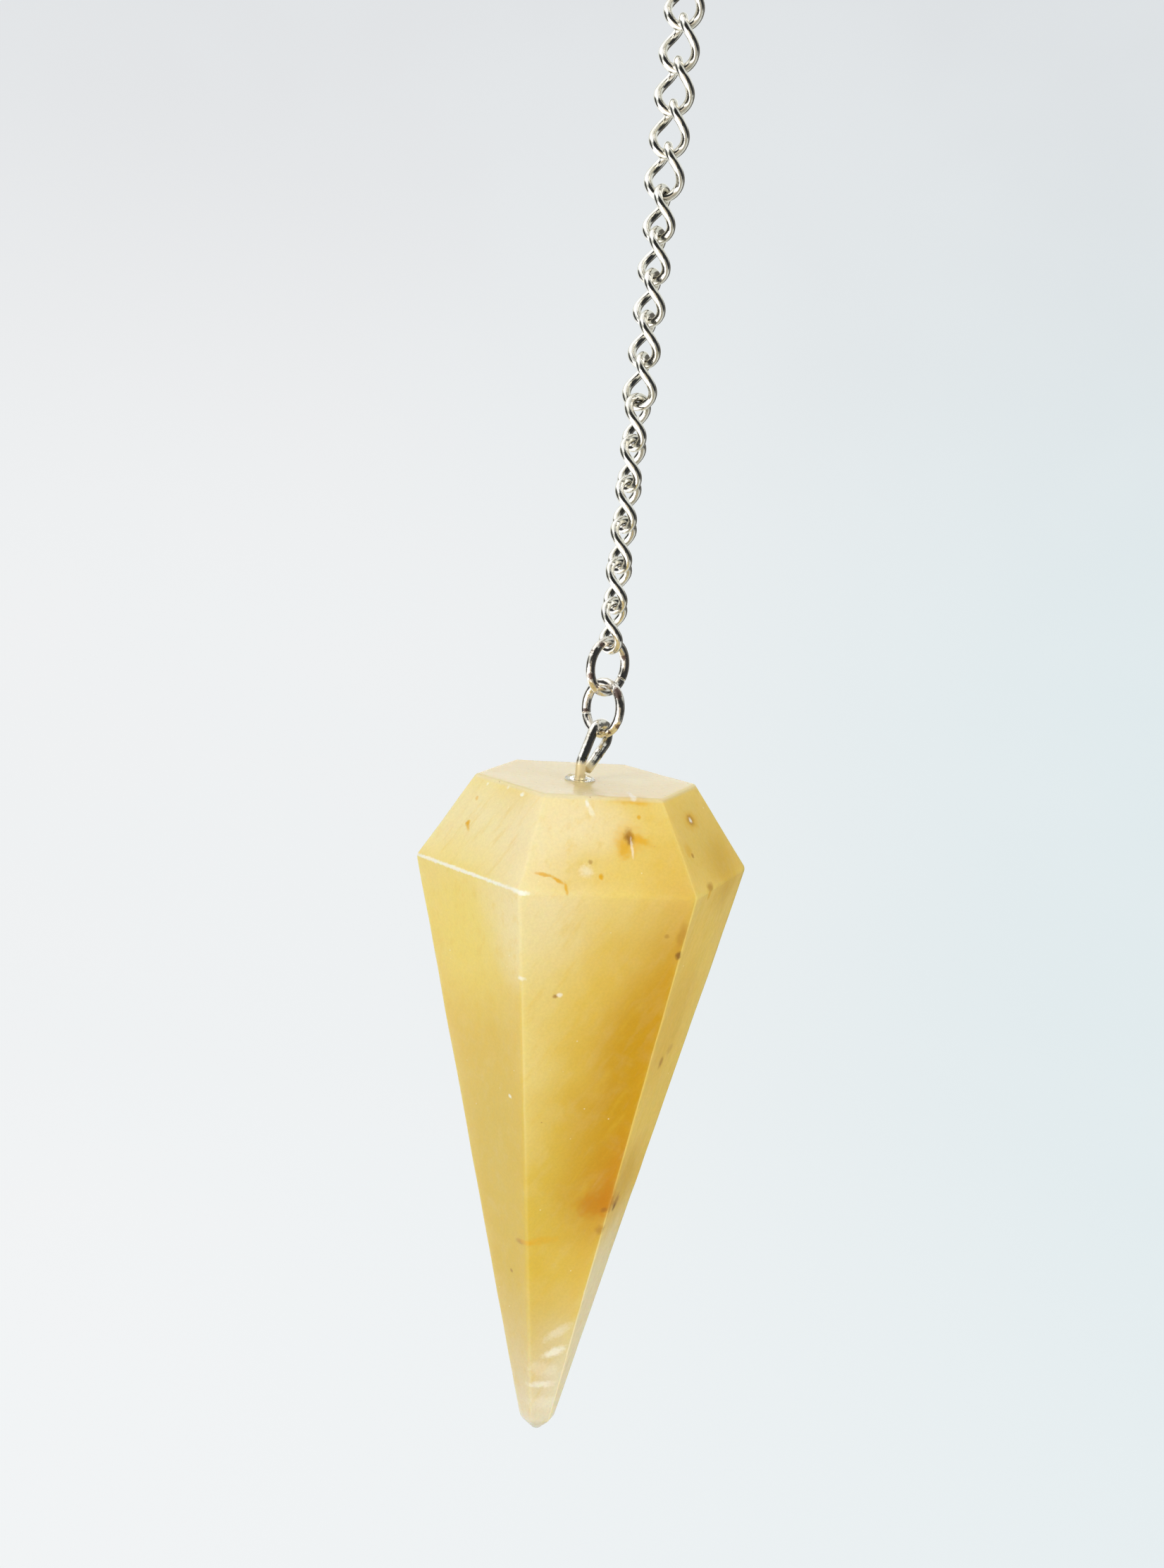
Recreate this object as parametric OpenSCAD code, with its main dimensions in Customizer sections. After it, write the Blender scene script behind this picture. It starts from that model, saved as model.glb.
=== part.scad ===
// Pendulum pendant: a six-sided pointed stone with a glued eye pin, hung from
// two jump rings on a twisted curb chain that ends in a plain ring.
// Millimetres, +Z up. The origin is the highest point inside the end ring,
// where the whole pendant hangs, and the chain runs straight down from it.
// Turns are angles about the vertical, from +X towards +Y.

/* [Stone] */
// Length of the stone, from its flat top to its point
stone_length = 45; // [36:0.5:60]
// Width of the stone across opposite corners of its girdle
stone_width = 21.6; // [17:0.1:27]
// Width of the flat top across opposite corners
table_width = 14.1; // [9:0.1:16]
// Width across opposite corners where the blunt point starts
tip_width = 2.4; // [1.2:0.1:4]
// Height of the sloping facets between the flat top and the girdle
crown_height = 5.4; // [3:0.1:9]
// Height of the blunt point
tip_height = 1.1; // [0.5:0.05:2.5]
// Turn of the stone about its own axis
stone_turn = 40.5; // [0:0.5:60]

/* [Eye pin] */
// Thickness of the eye pin's wire
eye_wire = 0.64; // [0.4:0.02:0.8]
// Height of the middle of the wire at the eye's top, above the flat top
eye_height = 3.5; // [3:0.05:6]
// Radius of the eye's round end, to the middle of the wire
eye_radius = 0.86; // [0.8:0.01:1.2]
// Distance from the stem to the middle of the eye's round end
eye_reach = 1.8; // [1.3:0.05:2.2]
// Height at which the stem starts to bend
bend_height = 0.95; // [0.6:0.05:1.4]
// Radius of that bend, to the middle of the wire
bend_radius = 0.9; // [0.5:0.05:1.5]
// Height of the wire's free end above the flat top
free_end_height = 0.55; // [0.4:0.05:1]
// Distance of the wire's free end from the stem
free_end_reach = 0.7; // [0.68:0.01:0.95]
// Turn of the eye's plane
eye_turn = 54; // [30:1:60]
// Distance from the stone's axis to the hole drilled for the stem
stem_offset = 0.8; // [0:0.05:2]
// Length of the stem inside the stone
stem_depth = 6; // [3:0.5:12]

/* [Glue] */
// Width of the clear glue bead round the stem
glue_width = 1.9; // [1.2:0.1:3]
// Height of the glue bead at the stem
glue_height = 0.3; // [0.15:0.05:0.6]

/* [Jump rings] */
// Outer diameter of both jump rings
ring_width = 3.9; // [3.6:0.05:6]
// Thickness of their wire
ring_wire = 0.6; // [0.4:0.02:0.8]
// Turn of the upper ring's plane
upper_turn = 49; // [30:1:60]
// Turn of the lower ring's plane
lower_turn = -49; // [-60:1:-30]
// Width of the closed cut in each jump ring
seam_gap = 0.05; // [0.02:0.01:0.1]

/* [Chain] */
// Outer length of a curb link
link_length = 3.72; // [3.4:0.01:5]
// Outer width of a curb link
link_width = 2.8; // [2.5:0.01:3.2]
// Thickness of a curb link's wire
link_wire = 0.56; // [0.36:0.01:0.6]
// Twist of each curb link from its top end to its bottom end
link_twist = 90; // [70:1:110]

/* [End ring] */
// Outer diameter of the plain ring that the chain hangs from
end_ring_width = 8; // [7:0.5:12]
// Thickness of its wire
end_ring_wire = 0.8; // [0.6:0.05:0.8]

/* [Fits] */
// Gap between two pieces of wire that bear on each other
play = 0.03; // [0.02:0.005:0.06]
// Gap all round the stem in its drilled hole and in the glue bead
stem_clearance = 0.05; // [0.03:0.01:0.1]

/* [Hidden] */
// Stretches of the chain from the top down: how many links, and the turn of
// the middle of each
LINKS = 0;
TURN = 1;
stretches = [
    [6, -43],
    [4, -71],
    [1, -64],
    [6, -93],
];

// Hand-cut facets in order round the stone: how far the table's, the
// girdle's and the point's edge of each lies out, as a share of the even cut
TABLE_SHARE = 0;
GIRDLE_SHARE = 1;
TIP_SHARE = 2;
facets = [
    [1.01, 1.02, 1.00],
    [1.00, 1.01, 1.00],
    [0.98, 1.00, 1.00],
    [1.03, 0.98, 1.00],
    [1.00, 0.99, 1.00],
    [0.98, 1.00, 1.00],
];

// The glue bead's hollow slope from its foot up to the stem: how far in from
// the rim each point lies, as a share of the bead's breadth, and how high, as
// a share of its height
GLUE_IN = 0;
GLUE_UP = 1;
glue_slope = [
    [0, 0],
    [0.15, 0.28],
    [0.55, 0.48],
    [1, 1],
];

// Angle from each facet to the next
facet_step = 360 / len(facets);

// Where the cut in each jump ring lies, round the ring from its right side
upper_seam = -30;
lower_seam = 200;

// Facets of a wire and of a link's outline in the chain
wire_sides = 6;
link_sides = 16;

// Facets of a full circle in the other round pieces
round_fn = 48;

// How much deeper the drilled hole goes than the stem, and how far its cut
// starts above the flat top
hole_spare = 0.3;

// Extra thickness of the eye pin's wire just where its bends start and end
bend_ease = 0.01;

// Part of a link's round that its wire's run is measured over, in degrees
run_step = 1;

// Heights down the chain

link_rise = (link_length - link_wire) / 2;
link_reach = (link_width - link_wire) / 2;
link_pitch = link_length - 2 * link_wire - play;
ring_radius = (ring_width - ring_wire) / 2;
end_ring_radius = (end_ring_width - end_ring_wire) / 2;

end_ring_z = end_ring_wire - end_ring_width / 2;
first_link_z = end_ring_z - end_ring_radius + (end_ring_wire + link_wire) / 2 + play - link_rise;
upper_ring_z = link_z(link_count() - 1) - link_rise + (link_wire + ring_wire) / 2 + play - ring_radius;
upper_pivot_z = upper_ring_z - ring_radius;
lower_ring_z = upper_pivot_z + ring_wire + play - ring_radius;
lower_pivot_z = lower_ring_z - ring_radius;

function link_z(i) = first_link_z - i * link_pitch;

function link_count(upto = len(stretches)) =
    upto == 0 ? 0 : stretches[upto - 1][LINKS] + link_count(upto - 1);

// Turn of link i: that of the stretch it lies in
function link_turn(i, row = 0) =
    i < link_count(row + 1) ? stretches[row][TURN] : link_turn(i, row + 1);

function link_name(i) = str("curb_link_", i < 9 ? "0" : "", i + 1);

// Balance of the stone

point_depth = stone_length - tip_height;

function bulk(top, bottom, height) = height * (top * top + top * bottom + bottom * bottom);

function bulk_depth(top, bottom, height) =
    height * (top * top + 2 * top * bottom + 3 * bottom * bottom)
    / (4 * (top * top + top * bottom + bottom * bottom));

crown_bulk = bulk(table_width, stone_width, crown_height);
body_bulk = bulk(stone_width, tip_width, point_depth - crown_height);
point_bulk = bulk(tip_width, 0, tip_height);
balance_depth = (
    crown_bulk * bulk_depth(table_width, stone_width, crown_height)
    + body_bulk * (crown_height + bulk_depth(stone_width, tip_width, point_depth - crown_height))
    + point_bulk * (point_depth + bulk_depth(tip_width, 0, tip_height))
) / (crown_bulk + body_bulk + point_bulk);

// The pin's eye bears on the lower ring away from the stone's axis, so the
// stone leans until its balance point is below the ring
pivot_height = eye_height - (eye_wire + ring_wire) / 2 - play;
pivot_reach = eye_reach - stem_offset;
lean = atan2(pivot_reach, balance_depth + pivot_height);

// Puts children from the stone's own frame, with the flat top's centre at
// its origin, where the stone hangs
module hung() {
    translate([0, 0, lower_pivot_z])
        rotate([0, 0, eye_turn])
        rotate([0, -lean, 0])
        translate([-pivot_reach, 0, -pivot_height])
        rotate([0, 0, -eye_turn])
        children();
}

// Upright plane at a turn, seen with its X to the right and its Y up
module upright(turn) {
    rotate([0, 0, turn]) rotate([90, 0, 0]) children();
}

// The stone

// How far out from the stone's axis facet i lies at one of its edges
function facet_out(i, width, share) =
    cos(facet_step / 2) / 2 * width * facets[i % len(facets)][share];

// Corner between facets i and i + 1 at that edge, where their planes cross
function facet_corner(i, width, share, depth) =
    let (
        facing = stone_turn + facet_step * (i + 0.5) - 90,
        out = facet_out(i, width, share),
        next_out = facet_out(i + 1, width, share),
        aside = (next_out - out * cos(facet_step)) / sin(facet_step)
    )
    [out * cos(facing) - aside * sin(facing), out * sin(facing) + aside * cos(facing), -depth];

module stone_blank() {
    sides = len(facets);
    last = sides - 1;
    edges = [
        [table_width, TABLE_SHARE, 0],
        [stone_width, GIRDLE_SHARE, crown_height],
        [tip_width, TIP_SHARE, point_depth],
    ];
    corners = [for (edge = edges, i = [0 : last])
        facet_corner(i, edge[0], edge[1], edge[2])];
    point = len(corners);
    table = [for (i = [0 : last]) last - i];
    crown_and_body = [for (row = [0 : len(edges) - 2], i = [0 : last])
        let (here = row * sides, next = (i + 1) % sides)
        [here + i, here + next, here + sides + next, here + sides + i]];
    tip = [for (i = [0 : last]) [point - sides + i, point - sides + (i + 1) % sides, point]];
    polyhedron(
        points = concat(corners, [[0, 0, -stone_length]]),
        faces = concat([table], crown_and_body, tip)
    );
}

module at_stem() {
    rotate([0, 0, eye_turn]) translate([-stem_offset, 0, 0]) children();
}

module stem_hole() {
    translate([0, 0, -stem_depth - hole_spare])
        cylinder(h = stem_depth + 2 * hole_spare, d = eye_wire + 2 * stem_clearance, $fn = round_fn);
}

module stone() {
    color([0.87, 0.74, 0.45])
        hung()
        difference() {
            stone_blank();
            at_stem() stem_hole();
        }
}

// The eye pin

// Round wire along an arc about the origin in the XY plane
module wire_arc(radius, from, to, wire) {
    rotate_extrude(start = from, angle = to - from, $fn = 2 * round_fn)
        translate([radius, 0])
        circle(d = wire, $fn = round_fn);
}

// Straight round wire in the XY plane, from a point, heading at an angle
module wire_run(point, heading, length, wire) {
    translate([point.x, point.y, 0])
        rotate([0, 90, heading])
        cylinder(h = length, d = wire, $fn = round_fn);
}

function along(angle, radius) = [radius * cos(angle), radius * sin(angle)];

bend_centre = [bend_radius, bend_height];
eye_centre = [eye_reach, eye_height - eye_radius];
free_end = [free_end_reach, free_end_height];

// The wire rises from the bend to the eye's left and comes back down from
// its right, both tangent to its round end
rise_way = eye_centre - bend_centre;
rise_heading = atan2(rise_way.y, rise_way.x) + asin((eye_radius - bend_radius) / norm(rise_way));
rise_start = bend_centre + along(rise_heading + 90, bend_radius);
rise_end = eye_centre + along(rise_heading + 90, eye_radius);
return_way = eye_centre - free_end;
return_heading = atan2(return_way.y, return_way.x) - asin(eye_radius / norm(return_way));
return_end = eye_centre + along(return_heading - 90, eye_radius);

module eye_pin_flat() {
    wire_run([0, -stem_depth], 90, stem_depth + bend_height, eye_wire);
    translate(bend_centre)
        wire_arc(bend_radius, rise_heading + 90, 180, eye_wire);
    wire_run(rise_start, rise_heading, norm(rise_end - rise_start), eye_wire);
    translate(eye_centre)
        wire_arc(eye_radius, return_heading - 90, rise_heading + 90, eye_wire);
    wire_run(free_end, return_heading, norm(return_end - free_end), eye_wire);
    for (point = [[0, bend_height], rise_start, rise_end, return_end])
        translate([point.x, point.y, 0])
        sphere(d = eye_wire + bend_ease, $fn = round_fn);
}

module eye_pin() {
    color([0.78, 0.78, 0.76])
        hung()
        at_stem()
        upright(0)
        eye_pin_flat();
}

// A shallow fillet of clear glue between the stem and the flat top
module glue_bead() {
    inner = eye_wire / 2 + stem_clearance;
    outer = glue_width / 2;
    color([0.93, 0.92, 0.86])
        hung()
        at_stem()
        translate([0, 0, play])
        rotate_extrude($fn = round_fn)
        polygon(concat(
            [[inner, 0]],
            [for (row = glue_slope)
                [outer - row[GLUE_IN] * (outer - inner), row[GLUE_UP] * glue_height]]
        ));
}

// Rings

module round_ring(radius, wire) {
    rotate_extrude($fn = 2 * round_fn)
        translate([radius, 0])
        circle(d = wire, $fn = round_fn);
}

// A jump ring bent shut, with its cut at an angle round the ring
module jump_ring(seam) {
    difference() {
        round_ring(ring_radius, ring_wire);
        rotate([0, 0, seam])
            translate([ring_radius, 0, 0])
            cube([2 * ring_wire, seam_gap, 2 * ring_wire], center = true);
    }
}

module lower_ring() {
    color([0.76, 0.76, 0.74])
        translate([0, 0, lower_ring_z])
        upright(lower_turn)
        jump_ring(lower_seam);
}

module upper_ring() {
    color([0.74, 0.74, 0.73])
        translate([0, 0, upper_ring_z])
        upright(upper_turn)
        jump_ring(upper_seam);
}

module end_ring() {
    color([0.75, 0.75, 0.74])
        translate([0, 0, end_ring_z])
        upright(0)
        round_ring(end_ring_radius, end_ring_wire);
}

// Curb links

// Middle of the wire at an angle round a link, which is an oval twisted
// about its length, with both ends left flat
function link_middle(a, turn) =
    let (
        out = link_reach * cos(a),
        here = turn - link_twist / 2 * sin(90 * sin(a))
    )
    [out * cos(here), out * sin(here), link_rise * sin(a)];

function unit(v) = v / norm(v);

// The wire's cross-section at an angle round a link, square to its run
function link_section(a, turn) =
    let (
        run = unit(link_middle(a + run_step, turn) - link_middle(a - run_step, turn)),
        here = turn - link_twist / 2 * sin(90 * sin(a)),
        side = unit(cross(run, [-sin(here), cos(here), 0])),
        face = cross(side, run)
    )
    [for (k = [0 : wire_sides - 1])
        let (b = 360 * k / wire_sides)
        link_middle(a, turn) + link_wire / 2 * (cos(b) * side + sin(b) * face)];

module link_sweep(turn) {
    points = [for (j = [0 : link_sides - 1]) each link_section(360 * j / link_sides, turn)];
    function at(j, k) = (j % link_sides) * wire_sides + k % wire_sides;
    faces = [for (j = [0 : link_sides - 1], k = [0 : wire_sides - 1])
        each [
            [at(j, k), at(j, k + 1), at(j + 1, k + 1)],
            [at(j, k), at(j + 1, k + 1), at(j + 1, k)],
        ]];
    polyhedron(points = points, faces = faces);
}

module curb_link(i) {
    color([0.72, 0.72, 0.71])
        translate([0, 0, link_z(i)])
        link_sweep(link_turn(i));
}

stone();
eye_pin();
glue_bead();
lower_ring();
upper_ring();
end_ring();
for (i = [0 : link_count() - 1])
    curb_link(i);
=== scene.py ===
import math

import bmesh
import bpy
from mathutils import Euler, Matrix, Vector, noise


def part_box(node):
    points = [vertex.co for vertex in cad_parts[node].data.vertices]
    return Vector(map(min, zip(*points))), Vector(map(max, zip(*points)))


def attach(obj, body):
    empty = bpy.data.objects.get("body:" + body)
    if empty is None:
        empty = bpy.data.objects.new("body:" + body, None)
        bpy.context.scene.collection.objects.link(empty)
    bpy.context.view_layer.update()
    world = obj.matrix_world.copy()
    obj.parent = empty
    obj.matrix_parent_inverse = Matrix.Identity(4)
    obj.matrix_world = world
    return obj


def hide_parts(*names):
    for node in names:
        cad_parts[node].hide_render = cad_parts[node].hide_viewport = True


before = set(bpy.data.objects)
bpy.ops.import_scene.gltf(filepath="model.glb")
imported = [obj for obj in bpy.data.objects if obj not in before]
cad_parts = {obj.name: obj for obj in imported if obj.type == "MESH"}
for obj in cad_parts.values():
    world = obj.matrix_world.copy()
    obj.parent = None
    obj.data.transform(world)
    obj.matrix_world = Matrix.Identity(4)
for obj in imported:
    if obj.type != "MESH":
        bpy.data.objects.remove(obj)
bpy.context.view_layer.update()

# Lengths are in millimetres up to where a mesh is made, and MM turns them into metres
MM = 0.001
UP = Vector((0, 0, 1))

# Points round a wire, and the shares of its radius in the sections from a cut end
WIRE_SIDES = 24
CUT_END_SHARES = (0.9, 0.97, 1.0)

# Chain. LINK_TURNS is how far each link is turned about the chain, from the top down
LINK_LENGTH = 3.72
LINK_WIDTH = 2.8
LINK_WIRE = 0.56
LINK_TWIST = 90
LINK_TURNS = [-43] * 6 + [-71] * 4 + [-64] + [-93] * 6
LINK_STEPS = 96
LINK_UNEVEN = 0.02
LINK_WEAR = 0.62
LINK_WEAR_FROM = 0.86

# Rings
RING_WIDTH = 3.9
RING_WIRE = 0.6
UPPER_TURN = 49
UPPER_SEAM = -30
LOWER_TURN = -49
LOWER_SEAM = 200
SEAM_GAP = 0.05
END_RING_WIDTH = 8
END_RING_WIRE = 0.8
END_RING_UNEVEN = 0.012
END_RING_WEAR = 0.35
RING_STEPS = 300

# Share of a dent's depth that all of it has, and how much more its gouges add
DENT_SHARE = 0.4
GOUGE_SHARE = 1.4

# Eye pin, in the plane of its eye: distance from the stem, and height above the stone
EYE_WIRE = 0.64
EYE_HEIGHT = 3.5
EYE_RADIUS = 0.86
EYE_REACH = 1.8
BEND_HEIGHT = 0.95
BEND_RADIUS = 0.9
FREE_END = Vector((0.7, 0.55))
EYE_TURN = 54
STEM_OFFSET = 0.8
STEM_SUNK = 1.5
PATH_STEP = 0.05
PIN_UNEVEN = 0.025

# Painted reflection of the cream stone on the pin, low down: where it ends, and its share.
# PIN_WEAR is the pin's worn places: height, reach up and down, and wear
PAINTED_REFLECTION_HEIGHT = 1.3
PAINTED_REFLECTION_SHARE = 0.85
PIN_WEAR = [(1.4, 0.25, 0.9), (2.8, 0.6, 0.9)]

# Glue
GLUE_WIDTH = 1.9
GLUE_HEIGHT = 0.3
GLUE_LUMPS = 0.32
GLUE_RIPPLE = 0.5
GLUE_RIM = 0.012
GLUE_FOOT = 0.004
GLUE_INTO_STEM = 0.02
GLUE_TURNS = 72
GLUE_ROWS = 14

# Stone. POLISH_WAVES are the height and the scale of each of its slight waves
STONE_LENGTH = 45
FACETS = 6
FIRST_FACING = -19.5
EDGE_ROUND = 0.17
EDGE_STEPS = 3
CELL = 0.8
POLISH_WAVES = [(0.03, 0.35), (0.008, 1.4)]
NORMAL_WEIGHT = 80

# Stone material: how soft the edges are of clouds with painted shade, and of stains with
# painted highlights; the cosines from a facet's heading between which its own colours fade; and
# the streaks' lean
CLOUD_AND_SHADE_EDGE = 0.3
STAIN_AND_HIGHLIGHT_EDGE = 0.4
FACET_FADE = (0.80, 0.93)
STREAK_LEAN = 28

# Camera, as the photograph's view of the stone's corners gives it
CAMERA_PLACE = Vector((-0.77, -134.76, -41.64))
CAMERA_DOWN = 7.39
CAMERA_ROLL = 6.59
CAMERA_LENS = 48.5
CAMERA_SENSOR = 36

# Studio
FLOOR_DROP = 300
FLOOR_REACH = 700
COVE_ROUND = 500
COVE_HEIGHT = 900
COVE_STEPS = 12
COVE_TURNS = 96


def tone(red, green, blue):
    """Linear colour of a display colour given from 0 to 255."""
    def linear(value):
        share = value / 255
        return share / 12.92 if share <= 0.04045 else ((share + 0.055) / 1.055) ** 2.4
    return (linear(red), linear(green), linear(blue), 1)


def smooth(share):
    """Smooth step of a share from 0 to 1."""
    share = min(max(share, 0), 1)
    return share * share * (3 - 2 * share)


def heading(degrees):
    """Level direction at a turn about the vertical."""
    return Vector((math.cos(math.radians(degrees)), math.sin(math.radians(degrees)), 0))


def middle_of(node):
    """Middle of a node's box, in millimetres."""
    low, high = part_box(node)
    return (Vector(low) + Vector(high)) / 2 / MM


class Shader:
    """A material's nodes, made and joined by short calls."""

    def __init__(self, name):
        self.material = bpy.data.materials.new(name)
        self.material.use_nodes = True
        self.tree = self.material.node_tree
        self.surface = self.tree.nodes["Principled BSDF"]
        self.place = self.vector("SCALE", self.node("TexCoord", {}).outputs["Object"],
                                 scale=1 / MM)

    def feed(self, socket, value):
        """Links a socket to another one, or sets its own value."""
        if isinstance(value, bpy.types.NodeSocket):
            self.tree.links.new(value, socket)
        else:
            socket.default_value = value

    def node(self, kind, inputs, **settings):
        made = self.tree.nodes.new("ShaderNode" + kind)
        for name, value in settings.items():
            setattr(made, name, value)
        for key, value in inputs.items():
            self.feed(made.inputs[key], value)
        return made

    def calc(self, operation, *values):
        return self.node("Math", dict(enumerate(values)), operation=operation).outputs[0]

    def vector(self, operation, *values, scale=None):
        inputs = dict(enumerate(values))
        if scale is not None:
            inputs["Scale"] = scale
        made = self.node("VectorMath", inputs, operation=operation)
        return made.outputs["Value" if operation == "DOT_PRODUCT" else "Vector"]

    def noise(self, scale, detail, rough, place=None, output="Fac"):
        made = self.node("TexNoise", {"Vector": place or self.place, "Scale": scale,
                                      "Detail": detail, "Roughness": rough})
        return made.outputs[output]

    def stretched(self, scales):
        return self.vector("MULTIPLY", self.place, scales)

    def wandering(self, scale, detail, rough, reach):
        """The place, pushed about by noise up to half the reach each way."""
        push = self.vector("SUBTRACT", self.noise(scale, detail, rough, output="Color"),
                           (0.5, 0.5, 0.5))
        return self.vector("ADD", self.place, self.vector("SCALE", push, scale=reach))

    def ramp(self, value, start, end, low=0, high=1):
        """Smooth step from low at start to high at end."""
        made = self.node("MapRange", {"Value": value, "From Min": start, "From Max": end,
                                      "To Min": low, "To Max": high},
                         interpolation_type="SMOOTHSTEP")
        return made.outputs["Result"]

    def mix(self, amount, first, second, blend="MIX"):
        made = self.node("Mix", {0: amount, 6: first, 7: second},
                         data_type="RGBA", blend_type=blend)
        return made.outputs[2]

    def attribute(self, name):
        return self.node("Attribute", {}, attribute_name=name).outputs["Fac"]

    def specks(self, scale, size, share, place=None):
        """Small round specks: cells of a Voronoi pattern, of which a share is marked."""
        cells = self.node("TexVoronoi", {"Vector": place or self.place, "Scale": scale})
        near = self.ramp(cells.outputs["Distance"], size, size * 0.4)
        draw = self.node("SeparateColor", {0: cells.outputs["Color"]}).outputs[0]
        chosen = self.ramp(draw, 1 - share, 1 - share + 0.01)
        return self.calc("MULTIPLY", near, chosen)

    def bump(self, height, strength, distance, under=None):
        inputs = {"Height": height, "Strength": strength, "Distance": distance * MM}
        if under is not None:
            inputs["Normal"] = under
        return self.node("Bump", inputs).outputs["Normal"]

    def set(self, **inputs):
        """Fills the surface's sockets, named with _ for a space."""
        for name, value in inputs.items():
            self.feed(self.surface.inputs[name.replace("_", " ")], value)
        return self.material


# Cream of the stone, painted on the pin's metal as its reflection
PAINTED_STONE_REFLECTION = tone(240, 222, 172)


def metal_material(name, bright, warm, grime, dents, haze):
    """Bright plated wire: patches dulled from its haze up, fine dents, brown
    wear where the mesh's wear attribute says, and a painted reflection of the
    cream stone, less metallic and rougher, where its painted reflection mark says."""
    s = Shader(name)
    dull = s.noise(1.6, 4, 0.6)
    fine = s.noise(14, 3, 0.6)
    worn = s.attribute("wear")
    ragged = s.calc("ADD", worn, s.calc("MULTIPLY", s.calc("SUBTRACT", fine, 0.5), 0.9))
    brown = s.ramp(ragged, 0.42, 0.62)
    colour = s.mix(s.ramp(dull, 0.35, 0.7), bright, warm)
    colour = s.mix(s.calc("MULTIPLY", brown, 0.85), colour, grime)
    roughness = s.calc("ADD", s.ramp(dull, 0.3, 0.75, haze, haze + 0.1),
                       s.calc("MULTIPLY", brown, 0.22))
    # Painted reflection: the stone's cream painted on, with the metal made less metallic under it
    film = s.attribute("film")
    colour = s.mix(film, colour, PAINTED_STONE_REFLECTION)
    roughness = s.calc("ADD", roughness, s.calc("MULTIPLY", film, 0.15))
    waves = s.bump(s.noise(2.4, 2, 0.5), dents, 0.12)
    normal = s.bump(fine, 0.08, 0.02, waves)
    return s.set(Base_Color=colour, Metallic=s.ramp(film, 0, 1, 1.0, 0.3),
                 Roughness=roughness, Normal=normal)


# The stone's colours
CREAM = tone(238, 220, 146)
HONEY = tone(230, 200, 104)
PALE = tone(244, 232, 184)
MILK = tone(242, 227, 180)
GOLD = tone(228, 190, 60)
AMBER = tone(206, 157, 18)
SIENNA = tone(204, 134, 18)
TAN = tone(252, 216, 106)
# Deeper honey, painted as shade low on the left facet
PAINTED_SHADE_HONEY = tone(219, 187, 64)
LEMON = tone(248, 228, 118)
CHALK = tone(234, 232, 216)
# Pale sheen painted on the flat top in place of its reflection
SAND = tone(255, 238, 194)
PAINTED_TOP_SHEEN = tone(226, 214, 184)
WHITE = tone(252, 248, 232)
OCHRE = tone(228, 174, 34)
RUST = tone(164, 108, 38)
UMBER = tone(120, 78, 36)

# Clouds inside the stone, and painted shade low on the left facet, where less light
# falls: the facet they show through, the place across and down it, half the width and
# height, depth, tilt, colour and strength. Facets 4, 5 and 0 are the left, front and right ones
# of the photograph
CLOUDS_AND_SHADE = [
    (5, 1.5, 17.0, 7.0, 18.0, 5, 0, GOLD, 0.55),
    (5, -4.8, 6.6, 3.6, 4.4, 4, 0, MILK, 0.8),
    (5, -3.6, 1.2, 3.6, 2.2, 3, 0, MILK, 0.8),
    (5, -0.6, 1.6, 2.0, 1.6, 3, 0, MILK, 0.5),
    (5, -2.3, 4.3, 1.9, 1.3, 3, 0, HONEY, 0.5),
    (5, 3.8, 3.8, 2.4, 2.6, 3, 0, GOLD, 0.3),
    (4, 3.4, 7.0, 3.2, 3.6, 4, 0, PALE, 0.2),
    (4, -1.8, 3.0, 5.6, 3.2, 3, 0, PALE, 0.75),
    (4, -2.4, 4.2, 2.8, 1.8, 3, 0, PALE, 0.6),
    (4, 4.2, 2.8, 2.2, 2.8, 3, 0, MILK, 0.5),
    # Painted shade: the stone darker low on the left facet, where less light falls
    (4, 0.5, 26.0, 5.0, 15.0, 5, 0, PAINTED_SHADE_HONEY, 0.85),
    (5, 0.0, 43.4, 6.0, 7.2, 6, 0, CHALK, 0.95),
    # Painted shade, lower still on the left facet
    (4, 0.0, 37.0, 4.0, 6.0, 4, 0, PAINTED_SHADE_HONEY, 0.6),
    (2, 1.5, 15.0, 4.5, 11.0, 5, 10, AMBER, 0.7),
    (1, -2.0, 24.0, 3.5, 9.0, 4, 0, GOLD, 0.6),
    (3, 2.0, 10.0, 4.0, 6.0, 4, 0, MILK, 0.7),
    (2, -2.0, 4.0, 4.0, 3.0, 3, 0, PALE, 0.5),
]

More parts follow.
